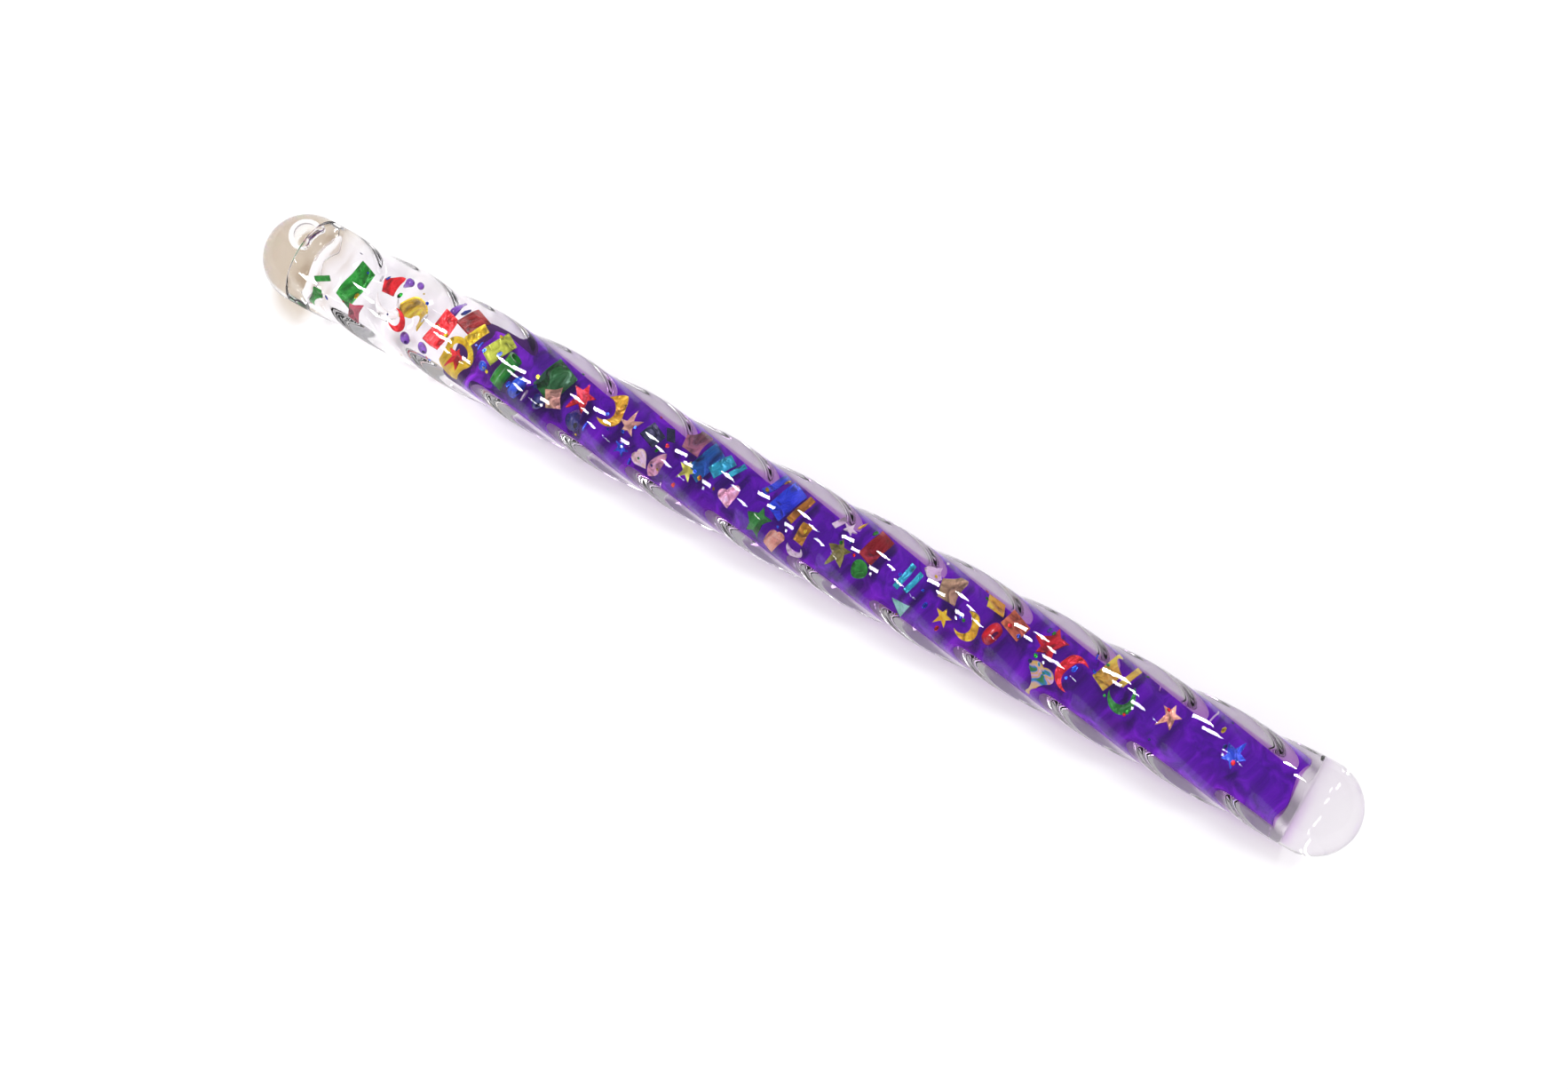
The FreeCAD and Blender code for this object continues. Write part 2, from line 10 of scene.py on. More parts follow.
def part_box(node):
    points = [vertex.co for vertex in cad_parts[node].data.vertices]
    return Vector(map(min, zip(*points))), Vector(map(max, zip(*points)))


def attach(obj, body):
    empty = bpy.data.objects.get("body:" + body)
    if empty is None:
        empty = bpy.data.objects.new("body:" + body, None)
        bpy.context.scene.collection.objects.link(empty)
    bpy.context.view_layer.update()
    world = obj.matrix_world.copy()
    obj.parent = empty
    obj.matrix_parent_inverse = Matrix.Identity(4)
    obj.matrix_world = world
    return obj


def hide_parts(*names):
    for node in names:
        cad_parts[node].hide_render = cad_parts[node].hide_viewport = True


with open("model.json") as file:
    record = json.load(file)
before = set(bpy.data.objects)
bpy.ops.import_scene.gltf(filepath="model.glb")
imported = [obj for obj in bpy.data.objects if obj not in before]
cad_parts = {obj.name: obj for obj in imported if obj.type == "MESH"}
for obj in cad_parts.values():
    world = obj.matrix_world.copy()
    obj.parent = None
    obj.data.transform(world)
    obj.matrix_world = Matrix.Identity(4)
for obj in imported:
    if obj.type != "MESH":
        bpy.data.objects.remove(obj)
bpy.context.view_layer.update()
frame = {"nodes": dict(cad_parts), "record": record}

nodes = frame["nodes"]
scene = bpy.context.scene
MM = 0.001

# ---- sizes, from the CAD boxes and the wand's own pattern ----

tube_low, tube_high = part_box("spiral_tube")
tip_low, tip_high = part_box("tip_cap")
plug_low, plug_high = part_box("plug_cap")
WAND_RADIUS = plug_high.z
TUBE_START = tube_low.x
TUBE_END = tube_high.x
BORE_RADIUS = 3.4 * MM
LOBES = 6
LOBE_PITCH = 12.35 * MM
LOBE_ANGLE = math.radians(21.0)
FLUTE_DEPTH = 0.47 * MM
LEAD = LOBES * LOBE_PITCH
HALF_LOBE = math.pi / LOBES
LOBE_OFFSET = FLUTE_DEPTH / (1 - math.cos(HALF_LOBE))
CORNER_RADIUS = WAND_RADIUS - LOBE_OFFSET

# The dyed oil lies below a slanting front that meets the bore's floor at OIL_FRONT.
OIL_FRONT = -52.0 * MM
OIL_SLANT = math.radians(24.0)
OIL_FILM = 0.05 * MM


def oil_height(x):
    """Height at x of the oil's slanting front, from the bore's floor at OIL_FRONT."""
    return -BORE_RADIUS + (x - OIL_FRONT) * math.tan(OIL_SLANT)


def lobed_radius(angle):
    """Distance from the axis to the round-cornered hexagon at an angle from one of its corners."""
    off = (angle + HALF_LOBE) % (2 * HALF_LOBE) - HALF_LOBE
    edge = math.atan2(CORNER_RADIUS * math.sin(HALF_LOBE),
                      LOBE_OFFSET + CORNER_RADIUS * math.cos(HALF_LOBE))
    if abs(off) < edge:
        across = LOBE_OFFSET * math.sin(off)
        return LOBE_OFFSET * math.cos(off) + math.sqrt(CORNER_RADIUS ** 2 - across ** 2)
    apothem = LOBE_OFFSET * math.cos(HALF_LOBE) + CORNER_RADIUS
    return apothem / math.cos(HALF_LOBE - abs(off))


def on_axis_circle(x, angle, radius):
    """A point at x, turned by an angle about the wand's axis from the +y side towards +z."""
    return (x, radius * math.cos(angle), radius * math.sin(angle))


# ---- materials ----

class Shader:
    """A material's node tree, with short ways to add and join nodes."""

    def __init__(self, name):
        self.material = bpy.data.materials.new(name)
        self.material.use_nodes = True
        self.tree = self.material.node_tree
        self.tree.nodes.clear()
        self.output = self.tree.nodes.new("ShaderNodeOutputMaterial")

    def add(self, kind, **inputs):
        """A new node; an underscore in an input's name stands for a space."""
        node = self.tree.nodes.new(kind)
        for name, value in inputs.items():
            node.inputs[name.replace("_", " ")].default_value = value
        return node

    def join(self, source, target):
        self.tree.links.new(source, target)

    def noise(self, scale, detail=2.0, distortion=0.0):
        """Noise in the object's own space, scale in cells per metre."""
        place = self.add("ShaderNodeTexCoord")
        noise = self.add("ShaderNodeTexNoise", Scale=scale, Detail=detail, Distortion=distortion)
        self.join(place.outputs["Object"], noise.inputs["Vector"])
        return noise.outputs["Fac"]

    def ramp(self, source, stops):
        """A colour ramp from (position, colour) stops."""
        ramp = self.add("ShaderNodeValToRGB")
        elements = ramp.color_ramp.elements
        while len(elements) < len(stops):
            elements.new(0.5)
        for element, (position, colour) in zip(elements, stops):
            element.position = position
            element.color = (*colour, 1)
        self.join(source, ramp.inputs["Fac"])
        return ramp.outputs["Color"]

    def bump(self, height, strength, distance):
        """A normal that rises and falls with a height output."""
        bump = self.add("ShaderNodeBump", Strength=strength, Distance=distance)
        self.join(height, bump.inputs["Height"])
        return bump.outputs["Normal"]

    def mix(self, factor, first, second):
        """Mix Shader of two shader outputs; factor is a number or an output."""
        mix = self.add("ShaderNodeMixShader")
        if isinstance(factor, float):
            mix.inputs[0].default_value = factor
        else:
            self.join(factor, mix.inputs[0])
        self.join(first, mix.inputs[1])
        self.join(second, mix.inputs[2])
        return mix.outputs[0]

    def finish(self, surface):
        self.join(surface, self.output.inputs["Surface"])
        return self.material


WHITE = (1.0, 1.0, 1.0)
ACRYLIC_IOR = 1.49
OIL_IOR = 1.47
# The tube's shadow deepens over this length, from where the dyed oil begins.
SHADE_CHANGE = 20 * MM
SURFACE_HAZE = 0.04
DYE_DENSITY = 300.0


def clear_plastic(name, tint, shade, shade_at_plug=None):
    """Polished acrylic with a faint moulding ripple, which light shines straight through.

    Shadow rays, and rays from matt surfaces, see a plain pane of the shade's colour instead
    of glass. The shade may change from the tip, where the oil is clear, to the dyed end.
    """
    s = Shader(name)
    glass = s.add("ShaderNodeBsdfPrincipled", Base_Color=(*tint, 1), Roughness=0.0,
                  IOR=ACRYLIC_IOR, Transmission_Weight=1.0)
    ripple = s.bump(s.noise(scale=900.0, detail=1.0), strength=0.004, distance=0.05 * MM)
    s.join(ripple, glass.inputs["Normal"])
    pane = s.add("ShaderNodeBsdfTransparent", Color=(*shade, 1))
    if shade_at_plug:
        place = s.add("ShaderNodeTexCoord")
        parts = s.add("ShaderNodeSeparateXYZ")
        s.join(place.outputs["Object"], parts.inputs["Vector"])
        along = s.add("ShaderNodeMapRange", From_Min=OIL_FRONT, From_Max=OIL_FRONT + SHADE_CHANGE)
        s.join(parts.outputs["X"], along.inputs["Value"])
        s.join(s.ramp(along.outputs["Result"], ((0.0, shade), (1.0, shade_at_plug))),
               pane.inputs["Color"])
    path = s.add("ShaderNodeLightPath")
    lit = s.mix(path.outputs["Is Diffuse Ray"], glass.outputs[0], pane.outputs[0])
    return s.finish(s.mix(path.outputs["Is Shadow Ray"], lit, pane.outputs[0]))


def matched(name):
    """A face where oil or cement matches the acrylic, so that it can't be seen."""
    s = Shader(name)
    return s.finish(s.add("ShaderNodeBsdfTransparent", Color=(*WHITE, 1)).outputs[0])


def dyed(name, open_surface=False):
    """Oil behind one of its faces: violet dye that deepens with the distance looked through."""
    s = Shader(name)
    face = s.add("ShaderNodeBsdfTransparent", Color=(*WHITE, 1)).outputs[0]
    if open_surface:
        haze = s.add("ShaderNodeBsdfPrincipled", Base_Color=(0.34, 0.16, 0.70, 1), Roughness=0.3,
                     IOR=OIL_IOR)
        face = s.mix(SURFACE_HAZE, face, haze.outputs[0])
    dye = s.add("ShaderNodeVolumeAbsorption", Color=(0.6, 0.0, 0.8, 1), Density=DYE_DENSITY)
    s.join(dye.outputs["Volume"], s.output.inputs["Volume"])
    return s.finish(face)


def clear_oil():
    """Undyed oil: it matches the acrylic, so only the faintest clouding shows."""
    s = Shader("clear_oil")
    cloud = s.ramp(s.noise(scale=300.0), ((0.3, (0.985, 0.975, 0.995)), (0.7, WHITE)))
    face = s.add("ShaderNodeBsdfTransparent")
    s.join(cloud, face.inputs["Color"])
    return s.finish(face.outputs[0])


def oil_heart():
    """The deep middle of the oil: dense purple, uneven like dye seen through several millimetres."""
    s = Shader("oil_heart")
    cloud = s.noise(scale=420.0, detail=5.0, distortion=1.2)
    fine = s.noise(scale=3000.0)
    dye = s.add("ShaderNodeBsdfPrincipled", Roughness=0.6, IOR=1.33, Specular_IOR_Level=0.0)
    s.join(s.ramp(cloud, ((0.3, (0.13, 0.005, 0.34)), (0.5, (0.23, 0.014, 0.60)),
                          (0.72, (0.40, 0.05, 0.88)))), dye.inputs["Base Color"])
    s.join(s.bump(fine, strength=0.5, distance=0.1 * MM), dye.inputs["Normal"])
    return s.finish(dye.outputs[0])


def toned(colour, factor, lift=0.0):
    """A colour made darker or lighter, with no part above 1."""
    return tuple(min(1.0, factor * part + lift) for part in colour)


def foil(name, colour, metal=0.15, rough=0.25):
    """Foil-faced plastic: a little crumpled, with painted shade in the folds' hollows and painted
    light on their crests, and a fine sparkle.
    """
    s = Shader(name)
    folds_with_painted_shade = s.noise(scale=650.0, distortion=1.2)
    grain = s.noise(scale=9000.0, detail=1.0)
    # Painted shade and painted light: the colour darkens and lightens with the same noise that bends
    # the foil.
    dark = toned(colour, factor=0.35)
    light = toned(colour, factor=1.5, lift=0.03)
    face = s.add("ShaderNodeBsdfPrincipled", Metallic=metal, Roughness=rough, Coat_Weight=0.1,
                 Coat_Roughness=0.05, Specular_IOR_Level=0.25)
    s.join(s.ramp(folds_with_painted_shade, ((0.32, dark), (0.5, colour), (0.68, light))), face.inputs["Base Color"])
    s.join(s.bump(folds_with_painted_shade, strength=0.7, distance=0.6 * MM), face.inputs["Normal"])
    s.join(s.ramp(grain, ((0.35, (rough * 0.6,) * 3), (0.65, (rough * 1.8,) * 3))),
           face.inputs["Roughness"])
    return s.finish(face.outputs[0])


def rainbow_foil():
    """Iridescent film: cream, yellow, green and teal bands across one charm."""
    s = Shader("rainbow_foil")
    bands = s.noise(scale=300.0, detail=1.0, distortion=2.0)
    face = s.add("ShaderNodeBsdfPrincipled", Metallic=0.2, Roughness=0.15, Coat_Weight=0.3)
    s.join(s.ramp(bands, ((0.38, (0.0, 0.50, 0.04)), (0.44, (0.0, 0.50, 0.80)),
                          (0.49, (0.90, 1.0, 0.45)), (0.55, (0.95, 0.90, 0.0)),
                          (0.64, (0.95, 1.0, 0.85)))), face.inputs["Base Color"])
    s.join(s.bump(bands, strength=0.5, distance=0.5 * MM), face.inputs["Normal"])
    return s.finish(face.outputs[0])


def bead_plastic(name, colour):
    """Glossy bead with slightly cloudy colour."""
    s = Shader(name)
    cloud = s.noise(scale=1200.0)
    face = s.add("ShaderNodeBsdfPrincipled", Roughness=0.12, Coat_Weight=0.5)
    dark = toned(colour, factor=0.5)
    light = toned(colour, factor=1.0, lift=0.12)
    s.join(s.ramp(cloud, ((0.35, dark), (0.6, colour), (0.8, light))), face.inputs["Base Color"])
    s.join(s.bump(cloud, strength=0.2, distance=0.1 * MM), face.inputs["Normal"])
    return s.finish(face.outputs[0])


FOIL_COLOURS = {
    "green": (0.01, 0.26, 0.02),
    "navy": (0.02, 0.035, 0.22),
    "maroon": (0.42, 0.04, 0.08),
    "white": (0.95, 0.92, 0.90),
    "red": (0.80, 0.012, 0.02),
    "gold": (0.86, 0.56, 0.015),
    "dark_red": (0.32, 0.006, 0.006),
    "lime": (0.50, 0.56, 0.06),
    "tan": (0.70, 0.46, 0.26),
    "cream": (0.96, 0.88, 0.62),
    "pink": (0.95, 0.55, 0.58),
    "black": (0.012, 0.02, 0.06),
    "mauve": (0.36, 0.15, 0.16),
    "teal": (0.01, 0.42, 0.50),
    "bronze": (0.50, 0.25, 0.015),
    "peach": (0.95, 0.48, 0.28),
    "olive": (0.22, 0.24, 0.03),
    "khaki": (0.46, 0.38, 0.16),
    "mint": (0.25, 0.80, 0.50),
    "terracotta": (0.72, 0.22, 0.07),
    "yellow": (0.90, 0.74, 0.06),
    "silver": (0.8, 0.8, 0.82),
    "blue": (0.02, 0.10, 0.85),
    "violet": (0.28, 0.09, 0.65),
}


# ---- objects and meshes ----

WELD_DISTANCE = 0.2e-6


def add_object(name, data):
    """A new object in the scene, for a mesh, a light or a camera."""
    made = bpy.data.objects.new(name, data)
    scene.collection.objects.link(made)
    return made


def mesh_of(bm, name, materials):
    """A mesh from a bmesh, which is used up."""
    mesh = bpy.data.meshes.new(name)
    bm.to_mesh(mesh)
    bm.free()
    for material in materials:
        mesh.materials.append(material)
    return mesh


def smooth_all(mesh):
    mesh.polygons.foreach_set("use_smooth", [True] * len(mesh.polygons))


def wand_piece(name, vertices, faces, materials):
    """A smooth-shaded object that rides the wand; every face starts with the first material."""
    mesh = bpy.data.meshes.new(name)
    mesh.from_pydata(vertices, [], faces)
    for material in materials:
        mesh.materials.append(material)
    smooth_all(mesh)
    mesh.update()
    piece = add_object(name, mesh)
    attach(piece, "wand")
    return piece


def even_steps(start, end, count):
    """Evenly spaced values from start to end, both included."""
    return [start + (end - start) * i / (count - 1) for i in range(count)]


def band_faces(first, rows, columns, flip=False):
    """Quads between closed rings of vertices; first is the first ring's first index.

    flip turns the quads over.
    """
    faces = []
    for i in range(rows - 1):
        for j in range(columns):
            a = first + i * columns + j
            b = first + i * columns + (j + 1) % columns
            c = first + (i + 1) * columns + (j + 1) % columns
            d = first + (i + 1) * columns + j
            faces.append((a, b, c, d) if flip else (a, d, c, b))
    return faces


def weld(piece):
    """Join vertices that lie together and turn every face outwards."""
    bm = bmesh.new()
    bm.from_mesh(piece.data)
    bmesh.ops.remove_doubles(bm, verts=bm.verts, dist=WELD_DISTANCE)
    bmesh.ops.dissolve_degenerate(bm, edges=bm.edges, dist=WELD_DISTANCE)
    bmesh.ops.recalc_face_normals(bm, faces=bm.faces)
    bm.to_mesh(piece.data)
    bm.free()


def sharpen(piece, degrees):
    """Keep edges crisp where faces meet at more than this angle."""
    piece.data.set_sharp_from_angle(angle=math.radians(degrees))


# ---- the spiral tube ----

OUTER_ROWS = 560
OUTER_COLUMNS = 108
BORE_ROWS = 60
BORE_COLUMNS = 72
RIM_TOLERANCE = 1e-6


def spiral_tube():
    """The twisted six-lobed tube; its bore and its ends match the oil and cement they touch."""
    vertices = []
    for x in even_steps(TUBE_START, TUBE_END, OUTER_ROWS):
        twist = LOBE_ANGLE + 2 * math.pi * x / LEAD
        for j in range(OUTER_COLUMNS):
            angle = 2 * math.pi * j / OUTER_COLUMNS
            vertices.append(on_axis_circle(x, angle + twist, lobed_radius(angle)))
    faces = band_faces(0, OUTER_ROWS, OUTER_COLUMNS)
    outer_count = len(faces)
    first = len(vertices)
    for x in even_steps(TUBE_START, TUBE_END, BORE_ROWS):
        for j in range(BORE_COLUMNS):
            vertices.append(on_axis_circle(x, 2 * math.pi * j / BORE_COLUMNS, BORE_RADIUS))
    faces += band_faces(first, BORE_ROWS, BORE_COLUMNS, flip=True)
    acrylic = clear_plastic("clear_acrylic", WHITE, (0.97, 0.96, 0.97), (0.77, 0.74, 0.76))
    piece = wand_piece("clear_spiral_tube", vertices, faces, [acrylic, matched("wetted_wall")])
    for polygon in piece.data.polygons[outer_count:]:
        polygon.material_index = 1
    close_ends(piece)
    sharpen(piece, degrees=40)
    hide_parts("spiral_tube")


def close_ends(piece):
    """Bridge the tube's outer rim to its bore at both ends."""
    bm = bmesh.new()
    bm.from_mesh(piece.data)
    for x in (TUBE_START, TUBE_END):
        rims = [edge for edge in bm.edges if edge.is_boundary
                and all(abs(vertex.co.x - x) < RIM_TOLERANCE for vertex in edge.verts)]
        made = bmesh.ops.bridge_loops(bm, edges=rims)
        for face in made["faces"]:
            face.material_index = 1
            face.smooth = False
    bmesh.ops.recalc_face_normals(bm, faces=bm.faces)
    bm.to_mesh(piece.data)
    bm.free()


# ---- the end caps, turned about the wand's axis ----

CAP_COLUMNS = 96
DOME_STEPS = 40
CAP_CHAMFER = 0.02 * MM
SPIGOT_CLEARANCE = 0.02 * MM
SHOULDER_GAP = 0.01 * MM
# The bands of a cap's profile that are cemented to the tube: the spigot's chamfer, its side
# and the shoulder as far out as the flutes' depth.
CEMENTED_BANDS = range(1, 4)

BUBBLE_CENTRE = Vector((tip_low.x + 5.0 * MM, 1.6 * MM, 0.8 * MM))
BUBBLE_RADIUS = 1.65 * MM
BUBBLE_HEIGHT_SHARE = 0.92


def cap_profile(spigot_end, shoulder, crown, direction):
    """A cap's (x, radius) points: spigot, shoulder, chamfered edge and dome.

    They run from the axis inside the bore out to the crown; direction is -1 at the tip and
    1 at the plug.
    """
    spigot = BORE_RADIUS - SPIGOT_CLEARANCE
    points = [
        (spigot_end, 0),
        (spigot_end, spigot - CAP_CHAMFER),
        (spigot_end + direction * CAP_CHAMFER, spigot),
        (shoulder, spigot),
        (shoulder, WAND_RADIUS - FLUTE_DEPTH),
        (shoulder, WAND_RADIUS - CAP_CHAMFER),
        (shoulder + direction * CAP_CHAMFER, WAND_RADIUS),
    ]
    centre = crown - direction * WAND_RADIUS
    for k in range(DOME_STEPS + 1):
        angle = math.pi / 2 * k / DOME_STEPS
        points.append((centre + direction * WAND_RADIUS * math.sin(angle),
                       WAND_RADIUS * math.cos(angle)))
    return points


def lathe_cap(name, profile, materials):
    """Turn (x, radius) points about the axis; the second material is on the cemented bands."""
    vertices = []
    for x, radius in profile:
        for j in range(CAP_COLUMNS):
            vertices.append(on_axis_circle(x, 2 * math.pi * j / CAP_COLUMNS, radius))
    faces = band_faces(0, len(profile), CAP_COLUMNS)
    piece = wand_piece(name, vertices, faces, materials)
    for band in CEMENTED_BANDS:
        for j in range(CAP_COLUMNS):
            piece.data.polygons[band * CAP_COLUMNS + j].material_index = 1
    weld(piece)
    sharpen(piece, degrees=35)
    return piece


def trapped_bubble(material):
    """The air bubble in the tip: an inward-facing ball, a little flattened."""
    bm = bmesh.new()
    bmesh.ops.create_icosphere(bm, subdivisions=4, radius=BUBBLE_RADIUS)
    bmesh.ops.scale(bm, vec=(1.0, 1.0, BUBBLE_HEIGHT_SHARE), verts=bm.verts)
    bmesh.ops.translate(bm, vec=BUBBLE_CENTRE, verts=bm.verts)
    bmesh.ops.reverse_faces(bm, faces=bm.faces)
    mesh = mesh_of(bm, "trapped_bubble", [material])
    smooth_all(mesh)
    piece = add_object("trapped_bubble", mesh)
    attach(piece, "wand")


def end_caps():
    """The tip dome with its bubble, its shadow tinted tan as painted shade, and the clear plug dome,
    which casts no shadow.
    """
    # Painted shade: the tip's shadow pane is tan, so the floor seen through the dome looks tan; the
    # plug's shadow pane is white, so it casts none.
    tan_shadow_tip_cap = clear_plastic("clear_tip_cap", (1.0, 0.99, 0.97), (0.72, 0.65, 0.55))
    unshaded_plug_cap = clear_plastic("clear_plug_cap", WHITE, WHITE)
    cement = matched("cemented_cap")
    tip_profile = cap_profile(tip_high.x, TUBE_START - SHOULDER_GAP, tip_low.x, -1)
    plug_profile = cap_profile(plug_low.x, TUBE_END + SHOULDER_GAP, plug_high.x, 1)
    tip = lathe_cap("tip_dome", tip_profile, [tan_shadow_tip_cap, cement])
    plug = lathe_cap("plug_dome", plug_profile, [unshaded_plug_cap, cement])
    trapped_bubble(tan_shadow_tip_cap)
    for piece, node in ((tip, "tip_cap"), (plug, "plug_cap")):
        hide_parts(node)


# ---- the oils: clear above the slanting front; dyed below it, round a dense middle ----

OIL_ROWS = 260
OIL_ARC = 40
OIL_TOP = 14
OIL_END_GAP = 0.3 * MM
# The dense middle of the dyed oil: its inset from the bore's wall, the height it never rises
# above, how far past the dyed oil's own start it begins, and how far below the slanting front
# it stays, as a multiple of the inset.
MIDDLE_INSET = 0.35 * MM
MIDDLE_TOP = -0.8 * MM
MIDDLE_START = 4 * MM
MIDDLE_DROP = 1.2


def level_section(x, radius, level):
    """Outline across the wand at x: round at the wall, flat at a level."""
    share = max(-1.0, min(1.0, level / radius))
    edge = math.asin(share)
    points = []
    for j in range(OIL_ARC):
        angle = math.pi - edge + (math.pi + 2 * edge) * j / OIL_ARC
        points.append(on_axis_circle(x, angle, radius))
    for j in range(OIL_TOP):
        along = 1 - 2 * j / OIL_TOP
        y = radius * math.cos(edge) * along
        points.append((x, y, radius * share))
    return points


def above_front(x):
    """Outline of the clear oil at x: a level section turned over."""
    turned_over = level_section(x, BORE_RADIUS - OIL_FILM, -oil_height(x) - OIL_FILM)
    return [(x, -y, -z) for _, y, z in turned_over]


def below_front(x, inset=0.0, highest=BORE_RADIUS):
    """Outline of the dyed oil at x, inset from the wall and the front."""
    level = min(oil_height(x) - MIDDLE_DROP * inset, highest)
    return level_section(x, BORE_RADIUS - OIL_FILM - inset, level)


def middle_section(x):
    """Outline of the dyed oil's dense middle at x."""
    return below_front(x, MIDDLE_INSET, MIDDLE_TOP)


def oil_body(name, section, start, end, materials):
    """One body of oil from its outline at each x; a second material is its flat surface."""
    vertices = []
    for x in even_steps(start, end, OIL_ROWS):
        vertices += section(x)
    columns = OIL_ARC + OIL_TOP
    faces = band_faces(0, OIL_ROWS, columns)
    faces.append(tuple(range(columns)))
    faces.append(tuple(reversed(range(len(vertices) - columns, len(vertices)))))
    piece = wand_piece(name, vertices, faces, materials)
    if len(materials) > 1:
        for i in range(OIL_ROWS - 1):
            for j in range(OIL_ARC, columns):
                piece.data.polygons[i * columns + j].material_index = 1
    weld(piece)
    sharpen(piece, degrees=50)
    return piece


def undyed_oil():
    """The clear oil at the tip end, above the slanting front."""
    low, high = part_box("clear_oil")
    piece = oil_body("oil_clear_end", above_front, low.x, high.x - OIL_END_GAP, [clear_oil()])
    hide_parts("clear_oil")


def dyed_oil():
    """The dyed oil: a see-through layer that fills the bore, round a dense middle."""
    low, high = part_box("dyed_oil")
    skin = oil_body("oil_outer_layer", below_front, low.x + OIL_END_GAP, high.x,
                    [dyed("oil_side"), dyed("oil_surface", open_surface=True)])
    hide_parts("dyed_oil")
    oil_body("oil_deep_middle", middle_section, low.x + MIDDLE_START, high.x - OIL_END_GAP,
             [oil_heart()])


# ---- confetti: the CAD pieces keep their shapes and get foil ----

def confetti_material(word, is_bead):
    """The material for a colour word: rainbow film, bead plastic or foil."""
    if word == "rainbow":
        return rainbow_foil()
    if is_bead:
        return bead_plastic(word + "_bead", FOIL_COLOURS[word])
    return foil(word + "_foil", FOIL_COLOURS[word])


def dress_confetti():
    """Give every CAD node with a foil slot a material in the slot's colour, shared by its kind."""
    made = {}
    for entry in frame["record"]["subparts"]:
        node, slot_name = entry["node"], entry["material_slot"]
        if not slot_name.endswith("_foil"):
            continue
        word = slot_name.removesuffix("_foil")
        is_bead = "bead" in node or "tube" in node
        key = (word, is_bead)
        if key not in made:
            made[key] = confetti_material(word, is_bead)
        piece = nodes[node]
        piece.data.materials.clear()
        piece.data.materials.append(made[key])


# ---- fine glitter that turns with each cell ----

SPECK_SEED = 11
SPECKS_PER_CELL = 6
SPECK_WORDS = ("gold", "navy", "green", "blue", "red")
SPECK_SIDES = 6
SPECK_HALF_THICKNESS = 0.03 * MM
SPECK_RADII_MM = (3.1, 3.22)
SPECK_SIZES_MM = (0.16, 0.34)
SPECK_LEAN = 0.4
# The specks gather round the direction in which the confetti lies spread.
SPREAD_ANGLE = math.pi / 2 + math.radians(21.8)
SPREAD_WIDTH = 0.75


def add_speck(bm, centre, normal, size, slot):
    """One thin hexagonal speck facing outwards."""
    turn = normal.to_track_quat("Z", "X").to_matrix().to_4x4()
    place = Matrix.Translation(centre) @ turn
    low, high = [], []
    for k in range(SPECK_SIDES):
        angle = 2 * math.pi * k / SPECK_SIDES
        for level, ring in ((-SPECK_HALF_THICKNESS, low), (SPECK_HALF_THICKNESS, high)):
            corner = Vector((size * math.cos(angle), size * math.sin(angle), level))
            ring.append(bm.verts.new(place @ corner))
    faces = [bm.faces.new(high), bm.faces.new(list(reversed(low)))]
    for k in range(SPECK_SIDES):
        n = (k + 1) % SPECK_SIDES
        faces.append(bm.faces.new((low[k], low[n], high[n], high[k])))
    for face in faces:
        face.material_index = slot


def cell_specks(body, members, dice, materials):
    """Specks strewn along one cell's length, riding the cell's body."""
    low = min(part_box(node)[0].x for node in members)
    high = max(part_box(node)[1].x for node in members)
    bm = bmesh.new()
    for _ in range(SPECKS_PER_CELL):
        x = dice.uniform(low, high)
        angle = SPREAD_ANGLE + dice.gauss(0, SPREAD_WIDTH)
        radius = dice.uniform(*SPECK_RADII_MM) * MM
        out = Vector((0, math.cos(angle), math.sin(angle)))
        lean = Vector((dice.uniform(-SPECK_LEAN, SPECK_LEAN), 0, 0))
        size = dice.uniform(*SPECK_SIZES_MM) * MM
        add_speck(bm, out * radius + Vector((x, 0, 0)), (out + lean).normalized(), size,
                  dice.randrange(len(materials)))
    piece = add_object(body + "_specks", mesh_of(bm, body + "_specks", materials))
    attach(piece, body)


def fine_glitter():
    """Specks for every cell, in one run of the dice."""
    dice = random.Random(SPECK_SEED)
    materials = [foil(word + "_speck", FOIL_COLOURS[word], metal=0.9, rough=0.15)
                 for word in SPECK_WORDS]
    for body, members in frame["record"]["behaviour"]["bodies"].items():
        if body.startswith("confetti_"):
            cell_specks(body, members, dice, materials)


# ---- floor, light and camera ----

FLOOR_HALF_WIDTH = 1.5
FLOOR_GAP = 0.02 * MM

LAMP_DISTANCE = 0.9
# A strip whose long side lies this way shows as a level dash on the slanting flutes.
STRIP_DIRECTION = Vector((0.46, 0.89, 0.0))
# Each lamp's name, direction from the wand, length and width in metres, and power in watts.
LAMPS = (
    ("strip_lamp_long", (-0.22, 0.12, 0.97), 0.28, 0.055, 4.6),
    ("strip_lamp_second", (-0.20, -0.14, 0.97), 0.20, 0.05, 1.3),
    ("strip_lamp_low", (-0.27, -0.62, 0.72), 0.22, 0.06, 1.2),
    ("small_lamp_low", (-0.14, -0.62, 0.75), 0.05, 0.05, 0.2),
)

ROOM_STRENGTH = 0.78
ROOM_SIDES = (0.70, 0.64, 0.68)
ROOM_CEILING = (0.50, 0.49, 0.51)
CEILING_FROM = 0.75

CAMERA_AZIMUTH = math.radians(31.1)
CAMERA_ELEVATION = math.radians(65.0)
CAMERA_DISTANCE = 0.327
CAMERA_AIM = Vector((1.7 * MM, -3.25 * MM, 0))
CAMERA_LENS = 57.8


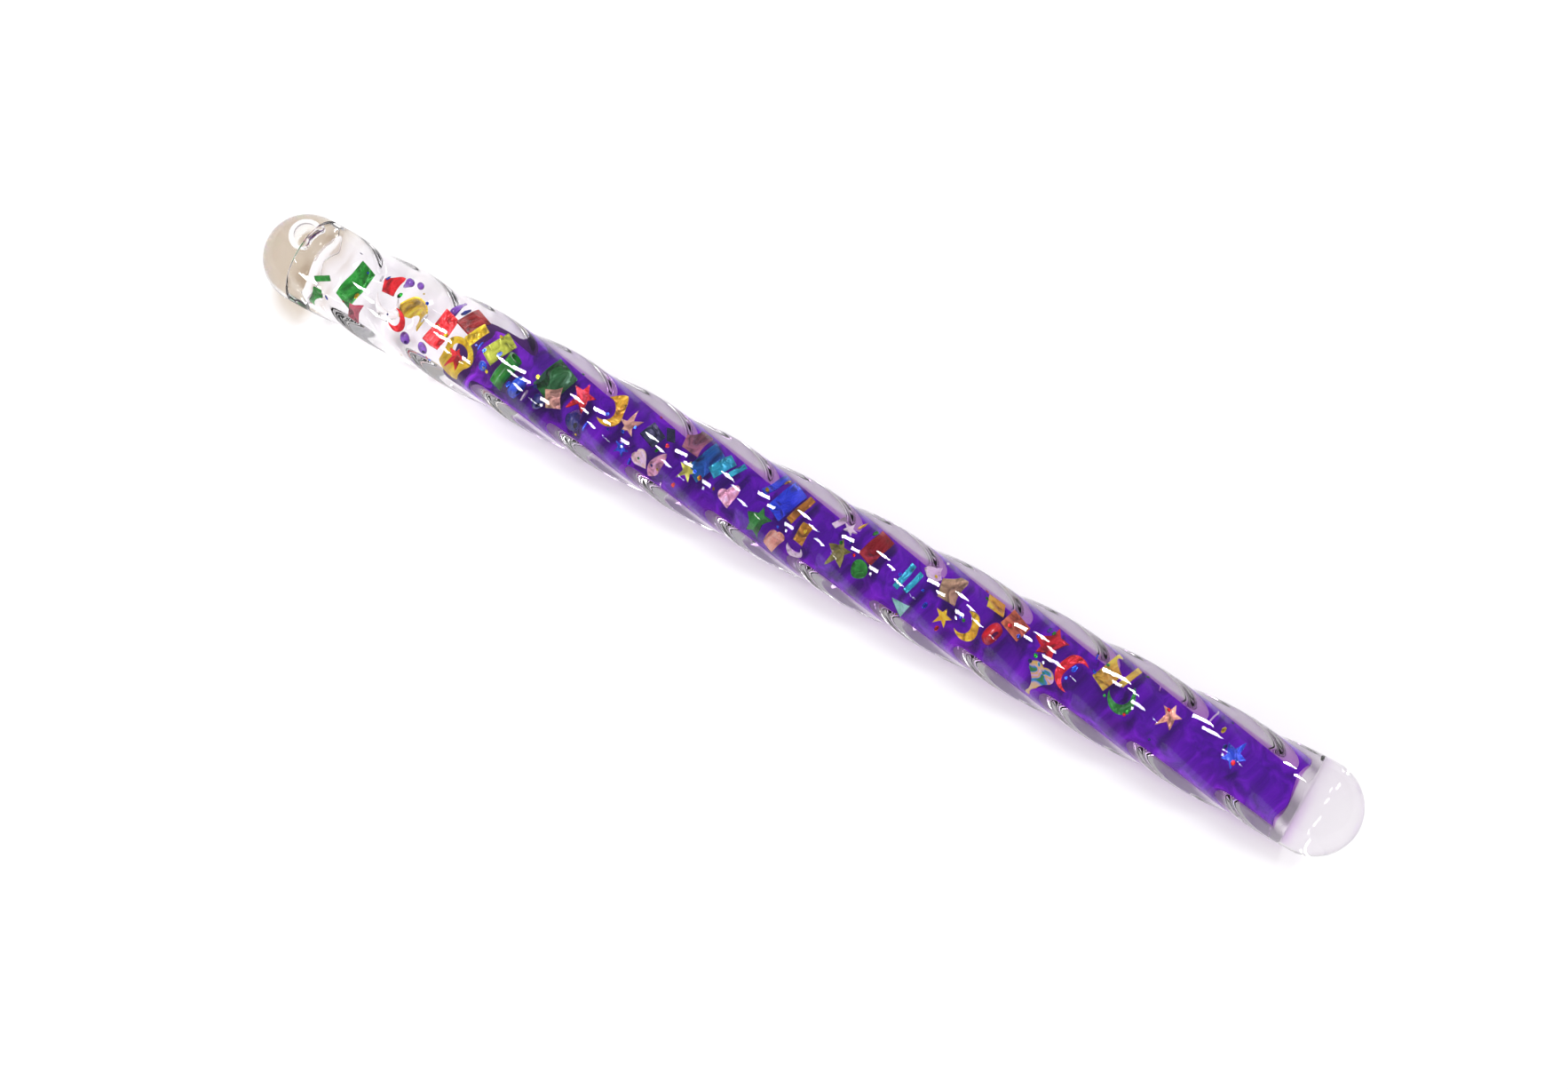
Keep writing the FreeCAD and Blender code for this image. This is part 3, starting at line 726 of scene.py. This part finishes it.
def pale_floor():
    """A sheet of white paper that the wand lies on."""
    s = Shader("white_paper")
    paper = s.add("ShaderNodeBsdfPrincipled", Roughness=0.85)
    s.join(s.ramp(s.noise(scale=60.0, detail=3.0), ((0.3, (0.90,) * 3), (0.7, (0.94,) * 3))),
           paper.inputs["Base Color"])
    bm = bmesh.new()
    bmesh.ops.create_grid(bm, x_segments=8, y_segments=8, size=FLOOR_HALF_WIDTH)
    bmesh.ops.translate(bm, vec=(0, 0, -WAND_RADIUS - FLOOR_GAP), verts=bm.verts)
    floor = add_object("floor", mesh_of(bm, "floor", [s.finish(paper.outputs[0])]))


def lamp(name, direction, length, width, power):
    """An area lamp that looks at the wand, its long side as near STRIP_DIRECTION as it can be."""
    light = bpy.data.lights.new(name, "AREA")
    light.shape = "RECTANGLE"
    light.size = length
    light.size_y = width
    light.energy = power
    lamp_object = add_object(name, light)
    away = Vector(direction).normalized()
    long_side = (STRIP_DIRECTION - away * STRIP_DIRECTION.dot(away)).normalized()
    axes = Matrix((long_side, away.cross(long_side), away)).transposed()
    lamp_object.location = away * LAMP_DISTANCE
    lamp_object.rotation_mode = "QUATERNION"
    lamp_object.rotation_quaternion = axes.to_quaternion()


def room_light():
    """An even, slightly lilac room that dims towards its ceiling, and the lamps."""
    world = bpy.data.worlds.new("soft_room")
    scene.world = world
    world.use_nodes = True
    tree = world.node_tree
    sky = tree.nodes["Background"]
    sky.inputs["Strength"].default_value = ROOM_STRENGTH
    place = tree.nodes.new("ShaderNodeTexCoord")
    parts = tree.nodes.new("ShaderNodeSeparateXYZ")
    ramp = tree.nodes.new("ShaderNodeValToRGB")
    tree.links.new(place.outputs["Generated"], parts.inputs["Vector"])
    tree.links.new(parts.outputs["Z"], ramp.inputs["Fac"])
    tree.links.new(ramp.outputs["Color"], sky.inputs["Color"])
    sides, ceiling = ramp.color_ramp.elements
    sides.color = (*ROOM_SIDES, 1)
    ceiling.position = CEILING_FROM
    ceiling.color = (*ROOM_CEILING, 1)
    for name, direction, length, width, power in LAMPS:
        lamp(name, direction, length, width, power)


def camera():
    """The photo's view: from the front and plug side, high above."""
    back = Vector((math.sin(CAMERA_AZIMUTH) * math.cos(CAMERA_ELEVATION),
                   -math.cos(CAMERA_AZIMUTH) * math.cos(CAMERA_ELEVATION),
                   math.sin(CAMERA_ELEVATION)))
    data = bpy.data.cameras.new("camera")
    data.lens = CAMERA_LENS
    data.clip_start = 0.01
    view = add_object("camera", data)
    view.location = CAMERA_AIM + back * CAMERA_DISTANCE
    view.rotation_mode = "QUATERNION"
    view.rotation_quaternion = back.to_track_quat("Z", "Y")
    scene.camera = view


def render_settings():
    """Enough bounces for the layers of plastic, oil and confetti, and no caustics."""
    scene.view_settings.view_transform = "Standard"
    scene.cycles.max_bounces = 24
    scene.cycles.transmission_bounces = 24
    scene.cycles.transparent_max_bounces = 40
    scene.cycles.caustics_reflective = False
    scene.cycles.caustics_refractive = False


spiral_tube()
end_caps()
dyed_oil()
undyed_oil()
dress_confetti()
fine_glitter()
pale_floor()
room_light()
camera()
render_settings()
